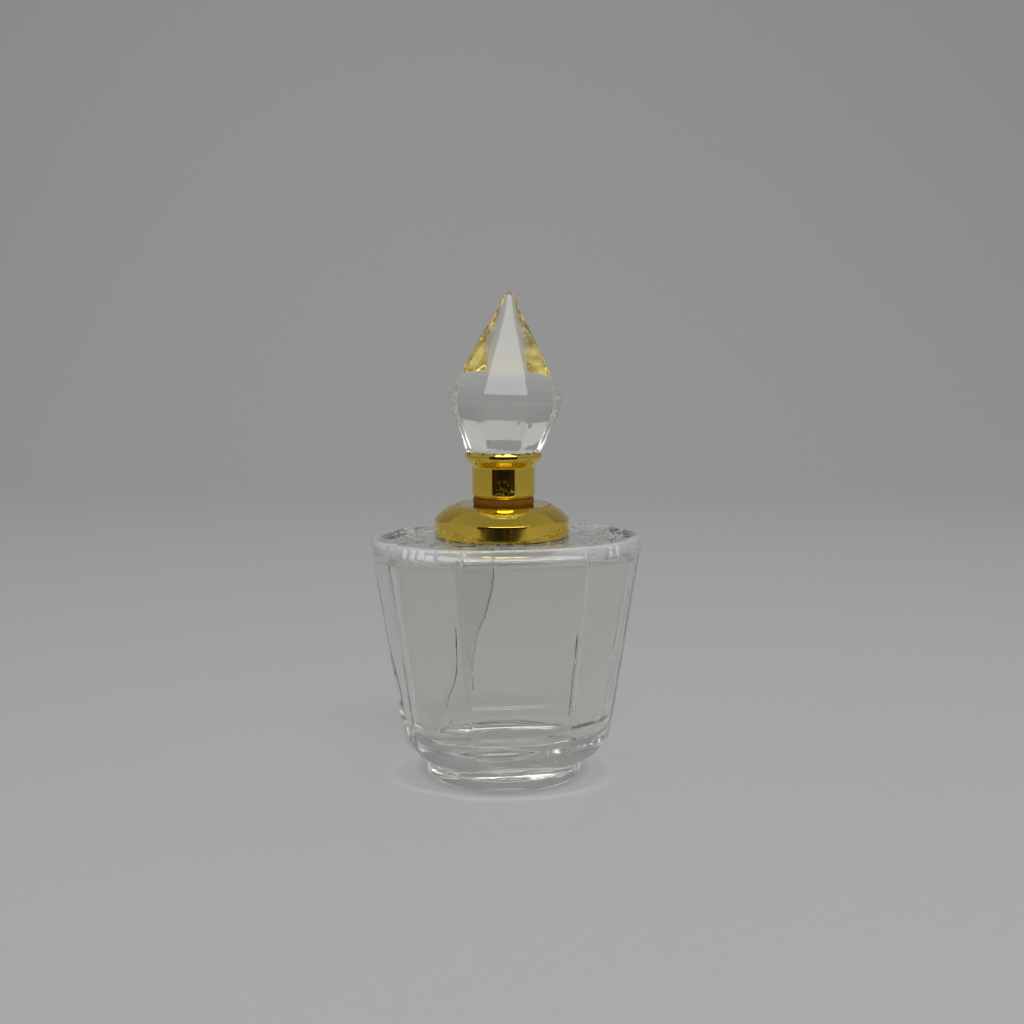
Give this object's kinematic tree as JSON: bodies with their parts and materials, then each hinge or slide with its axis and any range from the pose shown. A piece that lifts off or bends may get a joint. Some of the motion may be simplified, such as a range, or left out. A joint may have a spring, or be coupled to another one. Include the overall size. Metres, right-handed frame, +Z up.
{
  "type": "perfume bottle",
  "caption": "Clear glass perfume bottle: lobed, tapering octagonal body on a round foot, gilt domed collar and a gilt screw cap with a clear faceted pointed finial.",
  "frame": {"origin": "centre of the round foot's resting face, on the axis of the neck", "axes": "+Z up along the neck; X along the body's long side; -Y towards the broad front panel"},
  "size_m": [0.0436, 0.0306, 0.0767],
  "materials": {
    "clear_glass": "clear, fire-polished, slightly wavy inside",
    "gilt_metal": "polished gilt plating",
    "gasket_rubber": "matte translucent",
    "amber_washer": "matte, slightly translucent amber",
    "liner_plastic": "matte foam",
    "sleeve_plastic": "moulded",
    "clear_acrylic": "polished, clear"
  },
  "bodies": {
    "bottle": {"glass_body": "clear_glass", "neck_fitting": "gilt_metal", "lip_gasket": "gasket_rubber", "shoulder_collar": "gilt_metal", "neck_washer": "amber_washer"},
    "liner": {"cap_liner": "liner_plastic"},
    "cap": {"cap_sleeve": "sleeve_plastic", "cap_ferrule": "gilt_metal", "finial": "clear_acrylic"}
  },
  "joints": [
    {"name": "cap_rise", "type": "slide", "parent": "bottle", "child": "liner", "axis": [0, 0, 1], "range_m": [0, 0.00561]},
    {"name": "cap_turn", "type": "hinge", "parent": "liner", "child": "cap", "pos_m": [0, 0, 0.045], "axis": [0, 0, 1], "range_deg": [0, 1260]}
  ],
  "couplings": [
    {"joint": "cap_rise", "follows": "cap_turn", "m_per_rad": 0.00025465}
  ]
}
